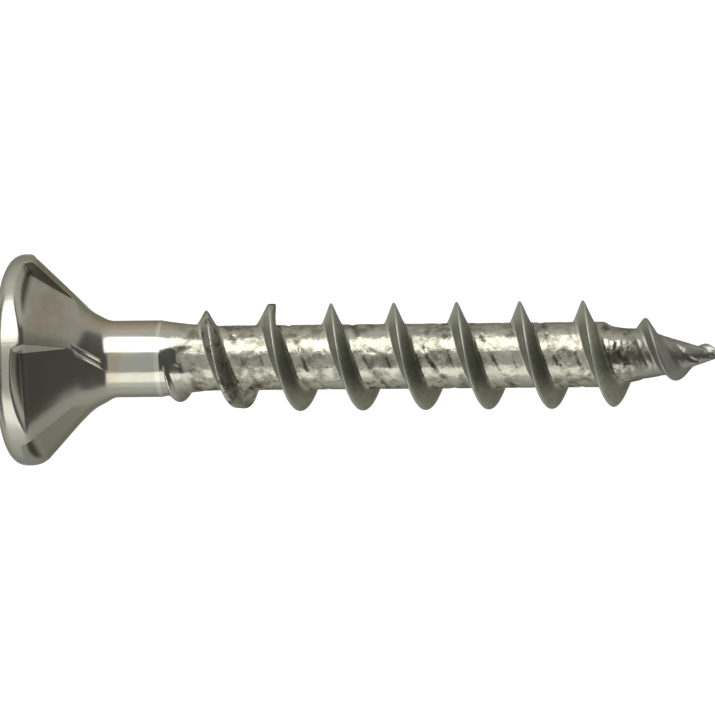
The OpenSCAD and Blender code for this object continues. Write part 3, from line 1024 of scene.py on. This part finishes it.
def plating_colour(tree, at, mottle, seam, pits):
    """Colour of the plating, one coat over the other: stains of the bath, dirt, dull flanks darkened with
    painted shade, worn crests, painted shade in the flanks' roots, the pockets' corners and the fold under
    the bent crest, and painted highlights on the head-side flanks and the shank's end.
    """
    brown = patches(tree, at.place, "brown stains")
    brown = add(tree, MATHS, brown, add(tree, TO_RANGE, at.sine, *BROWN_TOP), operation="MAXIMUM")
    below_rim = add(tree, TO_RANGE, at.z, RIM_H, NECK_END, UNDER_RIM_COAT, 1.0)
    brown = add(tree, MATHS, brown, below_rim, operation="MULTIPLY")
    # The seat is darker than the shank, and browner on one side
    brown_side = add(tree, TO_RANGE, at.sine, *BROWN_SEAT, *BROWN_SEAT_COAT)
    browner = add(tree, MATHS, patches(tree, at.place, "seat stains"), brown_side, operation="MULTIPLY")
    seat_colour = add(tree, MIX, browner, shade(SEAT), shade(SEAT_BROWN), data_type="RGBA")
    dirt = patches(tree, at.place, "dirt", 0.0, DIRT_COAT)
    for share in (patches(tree, at.place, "dirty patches"), at.threaded):
        dirt = add(tree, MATHS, dirt, share, operation="MULTIPLY")
    # Dull, scuffed flanks, darkened with painted shade between the turns, with a painted sheen that makes
    # them lighter on the head's side, and painted shade in the root on the point's side
    flank_colour = shade(FLANK_DULL_AND_SHADE)
    for share, coat in ((patches(tree, at.place, "scuffs"), FLANK_WORN),
                        (add(tree, TO_RANGE, at.ahead, *HEADWARD_SHEEN_SIDE), FLANK_HEADWARD_SHEEN),
                        (add(tree, TO_RANGE, at.ahead, *ROOT_SHADE, 0.0, ROOT_SHADE_COAT), PIT_AND_ROOT_SHADE)):
        flank_colour = add(tree, MIX, share, flank_colour, shade(coat), data_type="RGBA")
    flank = add(tree, MATHS, at.flank, FLANK_COAT, operation="MULTIPLY")
    point = add(tree, MATHS, at.point, POINT_COAT, operation="MULTIPLY")
    # Painted highlight: a light line around the turned end of the shank
    ring = add(tree, MATHS, at.z, SHANK_END, operation="SUBTRACT")
    ring = add(tree, MATHS, ring, operation="ABSOLUTE")
    ring = add(tree, TO_RANGE, ring, *RING_HIGHLIGHT_SIDE, 0.0, RING_HIGHLIGHT_COAT)
    # Painted shade in the fold under the bent crest
    fold_shade = add(tree, "ShaderNodeVectorMath", at.place, FOLD_SHADE_PLACE, operation="DISTANCE").outputs["Value"]
    fold_shade = add(tree, TO_RANGE, fold_shade, *FOLD_SHADE_REACH, 0.0, FOLD_SHADE_COAT)
    colour = shade(PLATE)
    for share, coat in (
        (brown, shade(PLATE_BROWN)),
        (patches(tree, at.place, "blue stains"), shade(PLATE_BLUE)),
        (at.threaded, shade(CORE)),
        (mottle, shade(PIT_AND_ROOT_SHADE)),
        (at.seat, seat_colour),
        (seam, shade(RESIDUE_AND_FOLD_SHADE)),
        (dirt, shade(RESIDUE_AND_FOLD_SHADE)),
        (flank, flank_colour),
        (at.crest, shade(CREST)),
        (point, shade(POINT)),
        (pits, shade(RESIDUE_AND_FOLD_SHADE)),
        # Painted shade in the pockets' corners
        (at.corner, shade(CORNER_SHADE)),
        (ring, shade(RING_HIGHLIGHT)),
        (fold_shade, shade(RESIDUE_AND_FOLD_SHADE)),
    ):
        colour = add(tree, MIX, share, colour, coat, data_type="RGBA")
    return colour


def plating_roughness(tree, at):
    """Roughness of the plating: ironed shank, cloudier core, duller seat and dull flanks."""
    clouds = patches(tree, at.place, "clouds")
    rough = add(tree, MIX, clouds, *SHANK_ROUGH)
    flank = add(tree, MATHS, at.flank, add(tree, TO_RANGE, at.z, *DULL_END, 1.0, TIP_FLANK_SHARE),
                operation="MULTIPLY")
    for share, level in (
        (at.threaded, add(tree, MIX, clouds, *CORE_ROUGH)),
        (at.head, HEAD_ROUGH),
        (at.point, POINT_ROUGH),
        (flank, FLANK_ROUGH),
        (at.crest, CREST_ROUGH),
    ):
        rough = add(tree, MIX, share, rough, level)
    return rough


def neck_scratches(tree, at):
    """Two raised scratches that run askew over the front of the neck."""
    askew = add(tree, MATHS, at.z, SCRATCH_SLANT, at.y, operation="MULTIPLY_ADD")
    askew = add(tree, MATHS, askew, SCRATCH_PLACE, operation="SUBTRACT")
    scratch = add(tree, MATHS, askew, SCRATCH_APART / 2, operation="PINGPONG")
    scratch = add(tree, TO_RANGE, scratch, SCRATCH_WIDTH, 0.0)
    aside = add(tree, MATHS, askew, SCRATCH_APART / 2, operation="SUBTRACT")
    aside = add(tree, MATHS, aside, operation="ABSOLUTE")
    along = add(tree, MATHS, at.z, SCRATCH_MIDDLE, operation="SUBTRACT")
    along = add(tree, MATHS, along, operation="ABSOLUTE")
    for share in (add(tree, TO_RANGE, aside, *SCRATCH_SIDE),
                  add(tree, TO_RANGE, along, *SCRATCH_REACH),
                  add(tree, TO_RANGE, at.x, *SCRATCH_FRONT)):
        scratch = add(tree, MATHS, scratch, share, operation="MULTIPLY")
    return scratch


def plating_relief(tree, at, mottle, seam, pits):
    """Relief of the plating: lines of the drawn wire on the shank, peel and specks that the dies left on the
    core, and the marks that also show in the colour."""
    drawn_z = add(tree, MATHS, at.z, DRAWN_SPACING / DRAWN_LENGTH, operation="MULTIPLY")
    drawn_place = add(tree, JOIN_XYZ, at.x, at.y, drawn_z)
    drawn = add(tree, NOISE, drawn_place, 1 / DRAWN_SPACING, 1.0)
    peel = add(tree, NOISE, at.place, 1 / PEEL_SPACING, 2.0)
    speck = add(tree, NOISE, at.place, 1 / SPECK_SPACING, 1.0)
    rolled = add(tree, MATHS, 1.0, at.flank, operation="SUBTRACT")
    rolled = add(tree, MATHS, at.threaded, rolled, operation="MULTIPLY")
    peeled = patches(tree, at.place, "peeled patches", PEEL_LEAST, 1.0)
    rolled = add(tree, MATHS, rolled, peeled, operation="MULTIPLY")
    relief = add(tree, MATHS, drawn, DRAWN_RISE, operation="MULTIPLY")
    for grain, rise in (
        (peel, add(tree, MATHS, rolled, *PEEL_RISE, operation="MULTIPLY_ADD")),
        (speck, add(tree, MATHS, rolled, *SPECK_RISE, operation="MULTIPLY_ADD")),
        (mottle, MOTTLE_RISE),
        (seam, SEAM_RISE),
        (pits, PIT_RISE),
        (neck_scratches(tree, at), SCRATCH_RISE),
    ):
        relief = add(tree, MATHS, grain, rise, relief, operation="MULTIPLY_ADD")
    return relief


def make_steel():
    """Zinc-plated carbon steel, cold-headed and thread-rolled, bright where the dies ironed it."""
    steel = bpy.data.materials.new("zinc_plated_steel")
    steel.use_nodes = True
    tree = steel.node_tree
    surface = tree.nodes["Principled BSDF"]
    surface.inputs["Metallic"].default_value = 1.0
    surface.inputs["Specular Tint"].default_value = shade(OUTLINE_TINT)
    at = screw_regions(tree)
    marks = (core_mottle(tree, at), seam_dirt(tree, at), flank_pits(tree, at))
    colour = plating_colour(tree, at, *marks)
    tree.links.new(next(o for o in colour.outputs if o.enabled), surface.inputs["Base Color"])
    tree.links.new(plating_roughness(tree, at).outputs[0], surface.inputs["Roughness"])
    bump = add(tree, "ShaderNodeBump")
    bump.inputs["Strength"].default_value = 1.0
    bump.inputs["Distance"].default_value = RELIEF_DEPTH * MM
    tree.links.new(plating_relief(tree, at, *marks).outputs[0], bump.inputs["Height"])
    tree.links.new(bump.outputs[0], surface.inputs["Normal"])
    return steel


# The screw

SHARP_FROM = math.radians(40)


def make_screw(steel):
    """The finished screw: pressed head and shank, welded to the rolled thread."""
    head = make_blank()
    run_tree(head, pocket_tree(steel), POCKET_SIZES)
    thread = new_object("thread", bpy.data.meshes.new("thread"))
    run_tree(thread, thread_tree(steel), THREAD_SIZES)
    thread = bake(thread, "thread")
    weld = head.modifiers.new("weld", "BOOLEAN")
    weld.operation = "UNION"
    weld.solver = "EXACT"
    weld.object = thread
    screw = bake(head, "zinc_screw")
    bpy.data.objects.remove(thread)
    screw.data.transform(LAID)
    screw.data.shade_smooth()
    screw.data.set_sharp_from_angle(angle=SHARP_FROM)
    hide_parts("screw")
    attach(screw, "root")
    return screw


bpy.context.scene.view_settings.view_transform = "Standard"
make_camera()
make_floor()
make_light()
screw = make_screw(make_steel())
